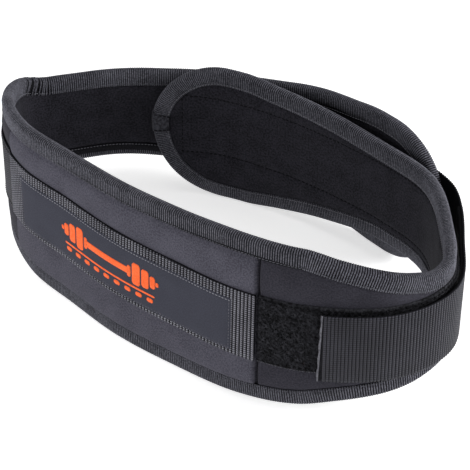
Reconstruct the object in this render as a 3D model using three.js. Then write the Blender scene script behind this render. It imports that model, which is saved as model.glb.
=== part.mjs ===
// Weightlifting belt: a padded band bound with woven tape, closed round the waist by a webbing strap.
// Millimetres, +Z up. The belt stands on its lower edge with its back towards -Y. The origin is on the
// ground, under the middle of the belt's box.
import * as THREE from 'three';

// Driving dimensions

// The loop that the fastened belt makes, along the middle of the band's thickness
const LOOP_WIDTH = 356;
const LOOP_DEPTH = 185;

// How far the band reaches from the middle of the back, to its inner and to its outer end
const INNER_REACH = 584;
const OUTER_REACH = 549;

// How far the band's edge lies above and below the strap's middle line. At the hips it is the loop strip and
// the tape beside it, with little to spare.
const BACK_RISE = 63;
const BACK_DROP = 61;
const END_RISE = 47.5;
const END_DROP = 61;
const HIP_SPARE_ABOVE = 0.5;
const HIP_SPARE_BELOW = 1;
const END_ROUND = 55; // length of the rounding at each end of the band

// The band's layers
const FOAM_THICKNESS = 6.4;
const EDGE_THICKNESS = 3.6; // the foam, squeezed by the tape
const LINING_THICKNESS = 1;
const TAPE_THICKNESS = 0.9;
const TAPE_WIDTH = 12;
const TAPE_BEVEL = 1.2; // the folded tape's rounding along the rim
const SQUEEZE_RAMP = 4; // from the tape's free edge to the foam's full thickness
const CLEARANCE = 0.3; // between pieces that lie on each other
const RIM_SPARE = 0.3; // more of it between the foam's edge and the folded tape, for the sharper corners

// The panel on the back, and what is sewn on it
const PANEL_LENGTH = 224;
const PANEL_THICKNESS = 1.2;
const PANEL_INSET = 3; // bare band between the panel and the tape
const WEBBING_WIDTH = 50;
const WEBBING_THICKNESS = 1.4;
const WEBBING_CLIMB = 9; // the webbing and the strap's start sit this much higher at the left seam
const PATCH_RIGHT = 96; // from the middle of the back to the patch's end on the strap's free side
const PATCH_LEFT = 95;
const PATCH_HEIGHT = 39.5;
const PATCH_ABOVE_LOWER_EDGE = 3; // webbing left bare under the patch
const PATCH_THICKNESS = 0.8;

// The fastening
const LOOP_STRIP_WIDTH = 50;
const LOOP_STRIP_THICKNESS = 2;
const LOOP_STRIP_END_MARGIN = 26; // from the strip to the band's inner end
const STRAP_WIDTH = 50;
const STRAP_THICKNESS = 1.6;
const STRAP_FREE_END = 152; // from the middle of the back, on the inner side
const STRAP_SETTLE = 88; // past the left seam, the strap comes down to the band's middle in this stretch
const STRAP_SLIP = 3; // the free stretch sits this much lower than the loop strip
const STRAP_SLIP_LENGTH = 110; // the stretch in which it comes down
const HOOK_WIDTH = 47;
const HOOK_THICKNESS = 1.2;
const HOOK_START = 24; // bare strap between the band's outer end and the hook tape
const TAPE_CROSSING = 24; // the strap climbs over the tape in the middle of this last stretch of the band

// The outer end lies over the inner one and stands a little away from it
const LAP_GAP = 2.8; // air between the two ends where they lie closest
const END_SPREAD = 5.3;
const LAP_RAMP = 120; // the stretch in which the band moves out to lie over its inner end

// Fineness of the sections
const STATION_STEP = 11;
const ROUND_STEPS = 7; // sections in each half of a rounded end
const NEAREST = 3; // a piece's end and the band's next section lie at least this far apart
const LOOP_DIVISIONS = 1200;

// Plan of the loop, in shares of half its width and depth, from the middle of the back round to the left
const LOOP_PLAN = [
  { x: -0.04, y: -1.002 },
  { x: -0.312, y: -0.983 },
  { x: -0.584, y: -0.956 },
  { x: -0.825, y: -0.736 },
  { x: -1, y: -0.301 },
  { x: -0.858, y: 0.156 },
  { x: -0.668, y: 0.512 },
  { x: -0.451, y: 0.815 },
  { x: -0.173, y: 0.956 },
  { x: 0.084, y: 1.002 },
  { x: 0.365, y: 0.995 },
  { x: 0.614, y: 0.897 },
  { x: 0.828, y: 0.561 },
  { x: 1, y: 0.141 },
  { x: 0.961, y: -0.325 },
  { x: 0.753, y: -0.708 },
  { x: 0.515, y: -0.885 },
  { x: 0.24, y: -0.955 },
];

// Outline of the band laid flat. at: share of the reach; back and end: how much of the back's and of the
// end's extra height the upper and lower edge have there
const OUTLINE = [
  { at: 0, backRise: 0.92, backDrop: 1, endRise: 0, endDrop: 0 },
  { at: 0.03, backRise: 0.92, backDrop: 1, endRise: 0, endDrop: 0 },
  { at: 0.08, backRise: 0.92, backDrop: 0.99, endRise: 0, endDrop: 0 },
  { at: 0.16, backRise: 1, backDrop: 0.9, endRise: 0, endDrop: 0 },
  { at: 0.24, backRise: 0.98, backDrop: 0.7, endRise: 0, endDrop: 0 },
  { at: 0.28, backRise: 0.76, backDrop: 0.49, endRise: 0, endDrop: 0 },
  { at: 0.32, backRise: 0.5, backDrop: 0.32, endRise: 0, endDrop: 0 },
  { at: 0.36, backRise: 0.22, backDrop: 0.18, endRise: 0, endDrop: 0 },
  { at: 0.4, backRise: 0, backDrop: 0.04, endRise: 0, endDrop: 0 },
  { at: 0.48, backRise: 0, backDrop: 0, endRise: 0, endDrop: 0 },
  { at: 0.57, backRise: 0, backDrop: 0, endRise: 0, endDrop: 0.09 },
  { at: 0.66, backRise: 0, backDrop: 0, endRise: 0.05, endDrop: 0.13 },
  { at: 0.75, backRise: 0, backDrop: 0, endRise: 0.46, endDrop: 0.45 },
  { at: 0.83, backRise: 0, backDrop: 0, endRise: 0.74, endDrop: 0.82 },
  { at: 0.88, backRise: 0, backDrop: 0, endRise: 1, endDrop: 1 },
  { at: 1, backRise: 0, backDrop: 0, endRise: 1, endDrop: 1 },
];

// How far the band leans outward at its top, in degrees. at: share of the reach, inner side negative
const LEAN = [
  { at: -1, lean: 0.8 },
  { at: -0.7, lean: -1.4 },
  { at: -0.45, lean: 0.6 },
  { at: -0.2, lean: -2.1 },
  { at: 0, lean: -1.8 },
  { at: 0.2, lean: 0.5 },
  { at: 0.45, lean: -4.4 },
  { at: 0.65, lean: -3.2 },
  { at: 0.8, lean: 2.2 },
  { at: 0.88, lean: 0.8 },
  { at: 1, lean: 1.7 },
];

// How far the outer end stands away from the inner one, along the lap. at: share of the lap; open: share
// of the spread
const LAP_SPREAD = [
  { at: 0, open: 0 },
  { at: 0.2, open: 0.05 },
  { at: 0.35, open: 0.4 },
  { at: 0.5, open: 1 },
  { at: 0.6, open: 0.95 },
  { at: 0.75, open: 0.4 },
  { at: 0.88, open: 0.08 },
  { at: 1, open: 0 },
];

// How the free strap comes down from the outer end onto the loop strip. at: share of the way from the
// band's outer end to the strap's free end; lift: share of the height that it still has above the strip
const STRAP_LIFT = [
  { at: 0.0, lift: 1.0 },
  { at: 0.12, lift: 0.7 },
  { at: 0.4, lift: 0.15 },
  { at: 0.65, lift: 0.0 },
  { at: 1.0, lift: 0.0 },
];

// Value of a table's column at a place between its rows, without overshoot
function lookUp(rows, at, column) {
  const last = rows.length - 1;
  if (at <= rows[0].at) return rows[0][column];
  if (at >= rows[last].at) return rows[last][column];
  const slope = (i) => (rows[i + 1][column] - rows[i][column]) / (rows[i + 1].at - rows[i].at);
  const tangent = (i) => {
    if (i === 0 || i === last) return 0;
    const before = slope(i - 1);
    const after = slope(i);
    return before * after > 0 ? (2 * before * after) / (before + after) : 0;
  };
  const k = rows.findIndex((row, i) => i < last && at < rows[i + 1].at);
  const span = rows[k + 1].at - rows[k].at;
  const t = (at - rows[k].at) / span;
  const a = rows[k][column];
  const b = rows[k + 1][column];
  const t2 = t * t;
  const t3 = t2 * t;
  return (2 * t3 - 3 * t2 + 1) * a + (t3 - 2 * t2 + t) * span * tangent(k)
    + (3 * t2 - 2 * t3) * b + (t3 - t2) * span * tangent(k + 1);
}

const smoothStep = (t) => THREE.MathUtils.smoothstep(t, 0, 1);

// The loop: a closed curve in plan, read by its length from the middle of the back, positive to the left
const planPoints = LOOP_PLAN.map((row) => new THREE.Vector3(row.x * LOOP_WIDTH / 2, row.y * LOOP_DEPTH / 2, 0));
const loopCurve = new THREE.CatmullRomCurve3(planPoints, true, 'catmullrom', 0.5);
loopCurve.arcLengthDivisions = LOOP_DIVISIONS;
const loopLength = loopCurve.getLength();

function loopFrame(along) {
  const share = THREE.MathUtils.euclideanModulo(along / loopLength, 1);
  const point = loopCurve.getPointAt(share);
  const tangent = loopCurve.getTangentAt(share);
  return { x: point.x, y: point.y, outX: -tangent.y, outY: tangent.x };
}

// Heights of the stack, outward from the middle of the foam
const foamFace = FOAM_THICKNESS / 2;
const edgeFace = EDGE_THICKNESS / 2;
const liningFace = foamFace + CLEARANCE + LINING_THICKNESS;
const edgeLiningFace = edgeFace + CLEARANCE + LINING_THICKNESS;
const tapeInnerFace = edgeLiningFace + CLEARANCE + TAPE_THICKNESS;
const tapeOuterFace = edgeFace + CLEARANCE + TAPE_THICKNESS;
const outerSeat = foamFace + CLEARANCE;
const webbingSeat = outerSeat + PANEL_THICKNESS + CLEARANCE;
const patchSeat = webbingSeat + WEBBING_THICKNESS + CLEARANCE;
const loopStripFace = outerSeat + LOOP_STRIP_THICKNESS;
const lapStep = Math.max(loopStripFace, tapeOuterFace) + LAP_GAP + Math.max(liningFace, tapeInnerFace);

// The band's path: from the inner end on the loop itself, and out over the inner end on the outer side
const lapStart = loopLength - INNER_REACH;
const lapLength = OUTER_REACH + INNER_REACH - loopLength;

function lapOffset(along) {
  if (along < lapStart - LAP_RAMP) return 0;
  const lift = smoothStep((along - lapStart + LAP_RAMP) / LAP_RAMP);
  return lift * (lapStep + END_SPREAD * lookUp(LAP_SPREAD, (along - lapStart) / lapLength, 'open'));
}

// The outer side is longer than the loop under it, so its true length is added up step by step
const PATH_STEP = 1;
const outerPath = [{ length: 0, along: 0 }];
for (let along = 0, length = 0, before = loopFrame(0); length < OUTER_REACH + PATH_STEP; along += PATH_STEP) {
  const here = loopFrame(along + PATH_STEP);
  const now = lapOffset(along);
  const next = lapOffset(along + PATH_STEP);
  const dx = here.x + here.outX * next - before.x - before.outX * now;
  const dy = here.y + here.outY * next - before.y - before.outY * now;
  length += Math.hypot(dx, dy);
  outerPath.push({ length, along: along + PATH_STEP });
  before = here;
}

function alongLoop(length) {
  if (length <= 0) return length;
  const k = Math.min(outerPath.findIndex((row) => row.length > length), outerPath.length - 1);
  const a = outerPath[Math.max(k, 1) - 1];
  const b = outerPath[Math.max(k, 1)];
  return a.along + (b.along - a.along) * (length - a.length) / (b.length - a.length);
}

// Where the band's middle lies at a true length from the middle of the back, and which way is outward
function bandFrame(length) {
  const along = alongLoop(length);
  const frame = loopFrame(along);
  const offset = length > 0 ? lapOffset(along) : 0;
  return { ...frame, offset };
}

const reachOf = (length) => (length < 0 ? INNER_REACH : OUTER_REACH);

// Outward shift for each millimetre of height
const slantAt = (length) => Math.tan(THREE.MathUtils.degToRad(lookUp(LEAN, length / reachOf(length), 'lean')));

// A point of the belt: true length along the band, distance outward from its middle, height
function bandPoint(length, outward, height) {
  const frame = bandFrame(length);
  const reach = frame.offset + outward + slantAt(length) * height;
  return new THREE.Vector3(frame.x + frame.outX * reach, frame.y + frame.outY * reach, height);
}

// Outline of the band laid flat, without its round ends
const HIP_RISE = LOOP_STRIP_WIDTH / 2 + TAPE_WIDTH + HIP_SPARE_ABOVE;
const HIP_DROP = LOOP_STRIP_WIDTH / 2 + TAPE_WIDTH + HIP_SPARE_BELOW;

function edgeHeight(length, hip, back, end, backColumn, endColumn) {
  const at = Math.abs(length) / reachOf(length);
  return hip + (back - hip) * lookUp(OUTLINE, at, backColumn) + (end - hip) * lookUp(OUTLINE, at, endColumn);
}

const riseAt = (length) => edgeHeight(length, HIP_RISE, BACK_RISE, END_RISE, 'backRise', 'endRise');
const dropAt = (length) => edgeHeight(length, HIP_DROP, BACK_DROP, END_DROP, 'backDrop', 'endDrop');

// Lengths of the sections between the band's round ends
const innerShoulder = -(INNER_REACH - END_ROUND);
const outerShoulder = OUTER_REACH - END_ROUND;
const bodyCount = Math.round((outerShoulder - innerShoulder) / STATION_STEP);
const bodyStations = Array.from({ length: bodyCount + 1 }, (_, i) => (
  innerShoulder + (outerShoulder - innerShoulder) * i / bodyCount
));

// The outline as rows of { length, height, inLength, inHeight }, where the last two point into the band

function edgeRow(length, heightAt, sign) {
  const slope = (heightAt(length + 1) - heightAt(length - 1)) / 2;
  return { length, height: sign * heightAt(length), inLength: 0, inHeight: -sign * Math.hypot(1, slope) };
}

// One half of a rounded end, from the edge at the shoulder to the tip
function roundRow(side, shoulder, heightAt, sign, angle) {
  const height = heightAt(shoulder);
  const normal = new THREE.Vector2(Math.sin(angle) / END_ROUND, Math.cos(angle) / height).normalize();
  return {
    length: shoulder + side * END_ROUND * Math.sin(angle),
    height: sign * height * Math.cos(angle),
    inLength: -side * normal.x,
    inHeight: -sign * normal.y,
  };
}

// The sections of a rounded end stop half a step short of its tip
const roundAngles = Array.from({ length: ROUND_STEPS }, (_, i) => (i + 1) * Math.PI / (2 * ROUND_STEPS + 1));

// The band's own sections, ends included, and those of them within a stretch, so that the pieces lying on
// the band bend at the same places
const edgeMargin = TAPE_THICKNESS + CLEARANCE + RIM_SPARE;
const roundStations = roundAngles.map((angle) => (END_ROUND - edgeMargin) * Math.sin(angle));
const allStations = [
  ...[...roundStations].reverse().map((out) => innerShoulder - out),
  ...bodyStations,
  ...roundStations.map((out) => outerShoulder + out),
];

function bandStations(from, to) {
  return [from, ...allStations.filter((length) => length > from + NEAREST && length < to - NEAREST), to];
}

// The stretch along one edge of the body, a little short of the round ends
function bodyRows(heightAt, sign) {
  const lengths = [innerShoulder + CLEARANCE, ...bodyStations.slice(1, -1), outerShoulder - CLEARANCE];
  return lengths.map((length) => edgeRow(length, heightAt, sign));
}

// The stretch round one end, from the upper shoulder to the lower one
function endRows(side, shoulder) {
  return [
    edgeRow(shoulder, riseAt, 1),
    ...roundAngles.map((angle) => roundRow(side, shoulder, riseAt, 1, angle)),
    ...[...roundAngles].reverse().map((angle) => roundRow(side, shoulder, dropAt, -1, angle)),
    edgeRow(shoulder, dropAt, -1),
  ];
}

// Closed skin through equal rings of points. Rings follow each other along the piece, and each ring's
// points go round it. An open row of rings is closed by a cap at each end, a closed row by itself.
function skin(rings, closed) {
  const size = rings[0].length;
  const positions = rings.flat().flatMap((point) => [point.x, point.y, point.z]);
  const index = [];
  const last = closed ? rings.length : rings.length - 1;
  for (let i = 0; i < last; i += 1) {
    const next = (i + 1) % rings.length;
    for (let j = 0; j < size; j += 1) {
      const k = (j + 1) % size;
      // Faces that look at each other are split along the same diagonal, so that they stay apart
      const [a, b, c, d] = [i * size + j, i * size + k, next * size + k, next * size + j];
      if (j < size / 2) index.push(a, b, c, a, c, d);
      else index.push(a, b, d, b, c, d);
    }
  }
  if (!closed) {
    const lastRing = (rings.length - 1) * size;
    // A cap's ring is a strip, so its points are joined in pairs from both faces
    for (let j = 0; j < size / 2 - 1; j += 1) {
      const a = j;
      const b = j + 1;
      const c = size - 2 - j;
      const d = size - 1 - j;
      index.push(a, c, b, a, d, c);
      index.push(lastRing + a, lastRing + b, lastRing + c, lastRing + a, lastRing + c, lastRing + d);
    }
  }
  const geometry = new THREE.BufferGeometry();
  geometry.setAttribute('position', new THREE.Float32BufferAttribute(positions, 3));
  geometry.setIndex(index);
  return facingOut(geometry);
}

// Turns a skin that was wound the wrong way
function facingOut(geometry) {
  const position = geometry.getAttribute('position');
  const index = geometry.getIndex().array;
  const corner = [new THREE.Vector3(), new THREE.Vector3(), new THREE.Vector3()];
  let volume = 0;
  for (let i = 0; i < index.length; i += 3) {
    corner.forEach((point, j) => point.fromBufferAttribute(position, index[i + j]));
    volume += corner[0].dot(corner[1].cross(corner[2]));
  }
  if (volume < 0) {
    for (let i = 0; i < index.length; i += 3) {
      [index[i + 1], index[i + 2]] = [index[i + 2], index[i + 1]];
    }
  }
  geometry.computeVertexNormals();
  return geometry;
}

// The strip of one layer between two faces, over stations with an upper and a lower height
function layer(lengths, innerFace, outerFace, lowerAt, upperAt) {
  const rings = lengths.map((length) => [
    bandPoint(length, innerFace, lowerAt(length)),
    bandPoint(length, innerFace, upperAt(length)),
    bandPoint(length, outerFace, upperAt(length)),
    bandPoint(length, outerFace, lowerAt(length)),
  ]);
  return skin(rings, false);
}

// Columns of a piece that fills the outline up to a margin: one at each station, and some in each round
// end. Each has its ends, and the stretch between fullBottom and fullTop that the tape doesn't squeeze.
function outlineColumns(margin) {
  const fullMargin = TAPE_WIDTH + SQUEEZE_RAMP;
  const roundColumn = (side, shoulder, angle) => {
    const out = (END_ROUND - margin) * Math.sin(angle);
    const share = Math.cos(angle);
    const fullOut = END_ROUND - fullMargin - SQUEEZE_RAMP;
    const fullShare = out < fullOut ? Math.sqrt(1 - (out / fullOut) ** 2) : 0;
    return {
      length: shoulder + side * out,
      top: (riseAt(shoulder) - margin) * share,
      bottom: -(dropAt(shoulder) - margin) * share,
      fullTop: (riseAt(shoulder) - fullMargin - SQUEEZE_RAMP) * fullShare,
      fullBottom: -(dropAt(shoulder) - fullMargin - SQUEEZE_RAMP) * fullShare,
      thick: fullShare > 0 ? 1 : 0,
    };
  };
  const flatColumn = (length) => {
    const top = edgeRow(length, riseAt, 1);
    const bottom = edgeRow(length, dropAt, -1);
    return {
      length,
      top: top.height + margin * top.inHeight,
      bottom: bottom.height + margin * bottom.inHeight,
      fullTop: top.height + fullMargin * top.inHeight,
      fullBottom: bottom.height + fullMargin * bottom.inHeight,
      thick: 1,
    };
  };
  return [
    ...[...roundAngles].reverse().map((angle) => roundColumn(-1, innerShoulder, angle)),
    ...bodyStations.map(flatColumn),
    ...roundAngles.map((angle) => roundColumn(1, outerShoulder, angle)),
  ];
}

// A layer of the band that keeps its full thickness in the middle and thins under the tape
function outlineLayer(margin, edgeInner, edgeOuter, innerFace, outerFace) {
  const rings = outlineColumns(margin).map(({ length, top, bottom, fullTop, fullBottom, thick }) => {
    const ramp = Math.min(SQUEEZE_RAMP, (top - fullTop) / 2, (fullBottom - bottom) / 2);
    const heights = [bottom, fullBottom - ramp, fullBottom, fullTop, fullTop + ramp, top];
    const fullness = [0, 0, thick, thick, 0, 0];
    const inside = heights.map((height, i) => (
      bandPoint(length, edgeInner + (innerFace - edgeInner) * fullness[i], height)
    ));
    const outside = heights.map((height, i) => (
      bandPoint(length, edgeOuter + (outerFace - edgeOuter) * fullness[i], height)
    ));
    return [...inside, ...outside.reverse()];
  });
  return skin(rings, false);
}

function mesh(name, geometry, colour, roughness) {
  const material = new THREE.MeshStandardMaterial({ color: colour, roughness, metalness: 0 });
  material.name = name;
  const piece = new THREE.Mesh(geometry, material);
  piece.name = name;
  return piece;
}

// The padded band
function paddedBand() {
  const geometry = outlineLayer(edgeMargin, -edgeFace, edgeFace, -foamFace, foamFace);
  return mesh('padded_band', geometry, '#35343c', 0.85);
}

// The brushed lining on its inside
function innerLining() {
  const geometry = outlineLayer(
    edgeMargin,
    -edgeLiningFace,
    -edgeFace - CLEARANCE,
    -liningFace,
    -foamFace - CLEARANCE,
  );
  return mesh('inner_lining', geometry, '#222226', 0.95);
}

// The tape folded over the edge, in four stretches that meet at the shoulders of the round ends. Its section
// goes over the rim from the free edge on the outside to the one on the inside, and back within the tape.
const bindingSection = [
  { out: tapeOuterFace, depth: TAPE_WIDTH },
  { out: tapeOuterFace, depth: TAPE_BEVEL },
  { out: tapeOuterFace - TAPE_BEVEL, depth: 0 },
  { out: TAPE_BEVEL - tapeInnerFace, depth: 0 },
  { out: -tapeInnerFace, depth: TAPE_BEVEL },
  { out: -tapeInnerFace, depth: TAPE_WIDTH },
  { out: TAPE_THICKNESS - tapeInnerFace, depth: TAPE_WIDTH },
  { out: TAPE_THICKNESS - tapeInnerFace, depth: TAPE_BEVEL },
  { out: TAPE_THICKNESS - tapeInnerFace, depth: TAPE_THICKNESS },
  { out: tapeOuterFace - TAPE_THICKNESS, depth: TAPE_THICKNESS },
  { out: tapeOuterFace - TAPE_THICKNESS, depth: TAPE_BEVEL },
  { out: tapeOuterFace - TAPE_THICKNESS, depth: TAPE_WIDTH },
];

function binding(name, rows) {
  const rings = rows.map((row) => bindingSection.map(({ out, depth }) => (
    bandPoint(row.length + row.inLength * depth, out, row.height + row.inHeight * depth)
  )));
  return mesh(name, skin(rings, false), '#55555a', 0.8);
}

// The panel on the back, up to the tape
function backPanel() {
  const geometry = layer(
    bandStations(-PANEL_LENGTH / 2, PANEL_LENGTH / 2),
    outerSeat,
    outerSeat + PANEL_THICKNESS,
    (length) => TAPE_WIDTH + PANEL_INSET - dropAt(length),
    (length) => riseAt(length) - TAPE_WIDTH - PANEL_INSET,
  );
  return mesh('back_panel', geometry, '#4f4e58', 0.8);
}

// How much higher than the band's middle line the webbing and the sewn strap lie
function climbAt(length) {
  const seam = PANEL_LENGTH / 2;
  if (length <= seam) return WEBBING_CLIMB * ((length + seam) / PANEL_LENGTH) ** 2;
  return WEBBING_CLIMB * (1 - smoothStep((length - seam) / STRAP_SETTLE));
}

// A strip of webbing or tape whose middle line is given
function strip(name, lengths, seat, thickness, width, middleAt, colour) {
  const geometry = layer(
    lengths,
    seat,
    seat + thickness,
    (length) => middleAt(length) - width / 2,
    (length) => middleAt(length) + width / 2,
  );
  return mesh(name, geometry, colour, 0.85);
}

function backWebbing() {
  const lengths = bandStations(-PANEL_LENGTH / 2, PANEL_LENGTH / 2);
  return strip('back_webbing', lengths, webbingSeat, WEBBING_THICKNESS, WEBBING_WIDTH, climbAt, '#3a3a41');
}

function labelPatch() {
  const middle = (PATCH_HEIGHT - WEBBING_WIDTH) / 2 + PATCH_ABOVE_LOWER_EDGE;
  const middleAt = (length) => middle + climbAt(length);
  const lengths = bandStations(-PATCH_RIGHT, PATCH_LEFT);
  return strip('label_patch', lengths, patchSeat, PATCH_THICKNESS, PATCH_HEIGHT, middleAt, '#3f4148');
}

function loopStrip() {
  const lengths = bandStations(-INNER_REACH + LOOP_STRIP_END_MARGIN, -PANEL_LENGTH / 2 - CLEARANCE);
  return strip('loop_strip', lengths, outerSeat, LOOP_STRIP_THICKNESS, LOOP_STRIP_WIDTH, () => 0, '#1e1e20');
}

// The strap lies on the band from its seam to the outer end, and on from there comes down on the loop strip.
// Past the outer end its length is counted along the loop.
const tipAlong = alongLoop(OUTER_REACH);
const freeLength = loopLength - STRAP_FREE_END - tipAlong;
const strapSeatOnStrip = loopStripFace + CLEARANCE + HOOK_THICKNESS + CLEARANCE;
const overTapeSeat = Math.max(outerSeat, tapeOuterFace + CLEARANCE);
const strapSeatAtTip = lapOffset(tipAlong) + overTapeSeat;
const tipSlant = slantAt(OUTER_REACH);

// Sections of the strap: place on the loop, offset of its inner face, slant, height of its middle, and how
// far past the band's outer end it lies
function strapSections() {
  const sewn = bandStations(PANEL_LENGTH / 2 + CLEARANCE, OUTER_REACH).map((length) => {
    const along = alongLoop(length);
    const climb = smoothStep((length - OUTER_REACH + TAPE_CROSSING) / TAPE_CROSSING);
    const offset = lapOffset(along) + outerSeat + climb * (overTapeSeat - outerSeat);
    return { along, offset, slant: slantAt(length), middle: climbAt(length), past: 0 };
  });
  // On the inner side it bends where the band under it does
  const free = bandStations(tipAlong - loopLength, -STRAP_FREE_END).slice(1).map((length) => {
    const past = length + loopLength - tipAlong;
    const lift = lookUp(STRAP_LIFT, past / freeLength, 'lift');
    return {
      along: loopLength + length,
      offset: strapSeatOnStrip + (strapSeatAtTip - strapSeatOnStrip) * lift,
      slant: slantAt(length) + (tipSlant - slantAt(length)) * lift,
      middle: -STRAP_SLIP * smoothStep(past / STRAP_SLIP_LENGTH),
      past,
    };
  });
  return [...sewn, ...free];
}

function strapLayer(sections, lift, thickness, width) {
  const rings = sections.map(({ along, offset, slant, middle }) => {
    const frame = loopFrame(along);
    const corner = (out, height) => {
      const reach = offset + out + slant * height;
      return new THREE.Vector3(frame.x + frame.outX * reach, frame.y + frame.outY * reach, height);
    };
    const lower = middle - width / 2;
    const upper = middle + width / 2;
    return [
      corner(lift, lower),
      corner(lift, upper),
      corner(lift + thickness, upper),
      corner(lift + thickness, lower),
    ];
  });
  return skin(rings, false);
}

function closureStrap() {
  return mesh('closure_strap', strapLayer(strapSections(), 0, STRAP_THICKNESS, STRAP_WIDTH), '#3c3c43', 0.8);
}

function hookTape() {
  const sections = strapSections().filter(({ past }) => past > HOOK_START);
  const geometry = strapLayer(sections, -CLEARANCE - HOOK_THICKNESS, HOOK_THICKNESS, HOOK_WIDTH);
  return mesh('hook_tape', geometry, '#242427', 0.95);
}

const belt = new THREE.Group();
belt.name = 'weightlifting_belt';
belt.add(
  paddedBand(),
  innerLining(),
  binding('binding_upper', bodyRows(riseAt, 1)),
  binding('binding_lower', bodyRows(dropAt, -1)),
  binding('binding_inner_end', endRows(-1, innerShoulder)),
  binding('binding_outer_end', endRows(1, outerShoulder)),
  backPanel(),
  backWebbing(),
  labelPatch(),
  loopStrip(),
  closureStrap(),
  hookTape(),
);

// The belt stands on its lower edge, with the origin under the middle of its box
const box = new THREE.Box3().setFromObject(belt);
const middle = box.getCenter(new THREE.Vector3());
belt.position.set(-middle.x, -middle.y, -box.min.z);

export default belt;
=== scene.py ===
# %% [markdown]
# # A padded weightlifting belt
# The belt is one long foam band with a knit face and a brushed lining. Ribbed tape is folded over its whole
# edge, a webbing with a cloth patch crosses its back, and a strap with hook tape closes it round the waist.
# It stands on its lower edge with its two round ends lying over each other on the far side.
#
# Everything here is cloth, so every hard shape of the frame gets a soft piece of its own in its place. All
# of them follow one line, the band's path round the waist, so that line is made first, from the same few
# sizes as the frame. Each piece is then drawn flat, as on the cutting table, and bent round that line.

# %% Load the frame
import math

import bmesh
import bpy
import numpy as np
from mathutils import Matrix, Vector


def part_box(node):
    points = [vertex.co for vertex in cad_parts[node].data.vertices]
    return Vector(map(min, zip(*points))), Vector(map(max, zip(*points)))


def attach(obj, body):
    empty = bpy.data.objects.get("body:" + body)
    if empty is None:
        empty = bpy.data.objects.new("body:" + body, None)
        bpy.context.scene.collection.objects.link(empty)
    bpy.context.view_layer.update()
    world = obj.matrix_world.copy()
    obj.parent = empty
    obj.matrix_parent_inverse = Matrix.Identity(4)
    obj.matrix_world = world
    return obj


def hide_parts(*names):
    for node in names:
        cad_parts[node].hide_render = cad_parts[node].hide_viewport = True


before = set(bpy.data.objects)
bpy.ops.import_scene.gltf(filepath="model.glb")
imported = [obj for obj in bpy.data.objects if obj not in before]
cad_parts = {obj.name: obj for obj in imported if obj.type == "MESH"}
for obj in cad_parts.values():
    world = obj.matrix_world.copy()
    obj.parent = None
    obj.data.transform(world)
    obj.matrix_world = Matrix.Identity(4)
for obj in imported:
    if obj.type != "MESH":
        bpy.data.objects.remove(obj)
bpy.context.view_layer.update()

# %% [markdown]
# ## The belt's sizes
# A cutting list comes first, in millimetres, as a belt maker would write it. The pieces are drawn in the
# same millimetres and only turned to metres when a mesh is made, which keeps the numbers easy to check with
# a ruler.

# %% Sizes in millimetres
LOOP_WIDTH, LOOP_DEPTH = 356.0, 185.0
INNER_REACH, OUTER_REACH = 584.0, 549.0
BACK_RISE, BACK_DROP = 63.0, 61.0
HIP_RISE, HIP_DROP = 37.5, 38.0
END_RISE, END_DROP = 47.5, 61.0
END_ROUND = 55.0
FOAM, EDGE_FOAM = 6.4, 3.6
LINING, TAPE, TAPE_WIDTH, GAP = 1.0, 0.9, 12.0, 0.3
PANEL_LENGTH, PANEL = 224.0, 1.2
WEBBING_WIDTH, WEBBING, WEBBING_CLIMB = 50.0, 1.4, 9.0
PATCH_RIGHT, PATCH_LEFT, PATCH_HEIGHT, PATCH = 96.0, 95.0, 39.5, 0.8
PATCH_ABOVE_LOWER_EDGE = 3.0
LOOP_STRIP_WIDTH, LOOP_STRIP, LOOP_STRIP_END_MARGIN = 50.0, 2.0, 26.0
STRAP_WIDTH, STRAP, STRAP_FREE_END = 50.0, 1.6, 152.0
STRAP_SLIP, STRAP_SLIP_LENGTH, STRAP_SETTLE = 3.0, 110.0, 88.0
HOOK_WIDTH, HOOK, HOOK_START, TAPE_CROSSING = 47.0, 1.2, 24.0, 24.0
LAP_GAP, END_SPREAD, LAP_RAMP = 2.8, 5.3, 120.0
METRE = 0.001

# Plan of the loop, in shares of half its width and depth, from the middle of the back round to the left
LOOP_PLAN = np.array([
    (-0.04, -1.002), (-0.312, -0.983), (-0.584, -0.956), (-0.825, -0.736), (-1, -0.301), (-0.858, 0.156),
    (-0.668, 0.512), (-0.451, 0.815), (-0.173, 0.956), (0.084, 1.002), (0.365, 0.995), (0.614, 0.897),
    (0.828, 0.561), (1, 0.141), (0.961, -0.325), (0.753, -0.708), (0.515, -0.885), (0.24, -0.955),
])

# Outline laid flat: share of the reach, back rise, back drop, end rise, end drop
OUTLINE = np.array([
    (0, 0.92, 1, 0, 0), (0.03, 0.92, 1, 0, 0), (0.08, 0.92, 0.99, 0, 0), (0.16, 1, 0.9, 0, 0),
    (0.24, 0.98, 0.7, 0, 0), (0.28, 0.76, 0.49, 0, 0), (0.32, 0.5, 0.32, 0, 0), (0.36, 0.22, 0.18, 0, 0),
    (0.4, 0, 0.04, 0, 0), (0.48, 0, 0, 0, 0), (0.57, 0, 0, 0, 0.09), (0.66, 0, 0, 0.05, 0.13),
    (0.75, 0, 0, 0.46, 0.45), (0.83, 0, 0, 0.74, 0.82), (0.88, 0, 0, 1, 1), (1, 0, 0, 1, 1),
])

# Share of the reach, degrees that the band's top leans outward there
LEAN = np.array([
    (-1, 0.8), (-0.7, -1.4), (-0.45, 0.6), (-0.2, -2.1), (0, -1.8), (0.2, 0.5), (0.45, -4.4), (0.65, -3.2),
    (0.8, 2.2), (0.88, 0.8), (1, 1.7),
])

# Share of the lap, share of the spread by which the outer end stands away
LAP_SPREAD = np.array([
    (0, 0), (0.2, 0.05), (0.35, 0.4), (0.5, 1), (0.6, 0.95), (0.75, 0.4), (0.88, 0.08), (1, 0),
])

# Share of the strap's free stretch, share of its height above the loop strip
STRAP_LIFT = np.array([(0, 1), (0.12, 0.7), (0.4, 0.15), (0.65, 0), (1, 0)])
print("band laid flat:", INNER_REACH + OUTER_REACH, "mm long")


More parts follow.
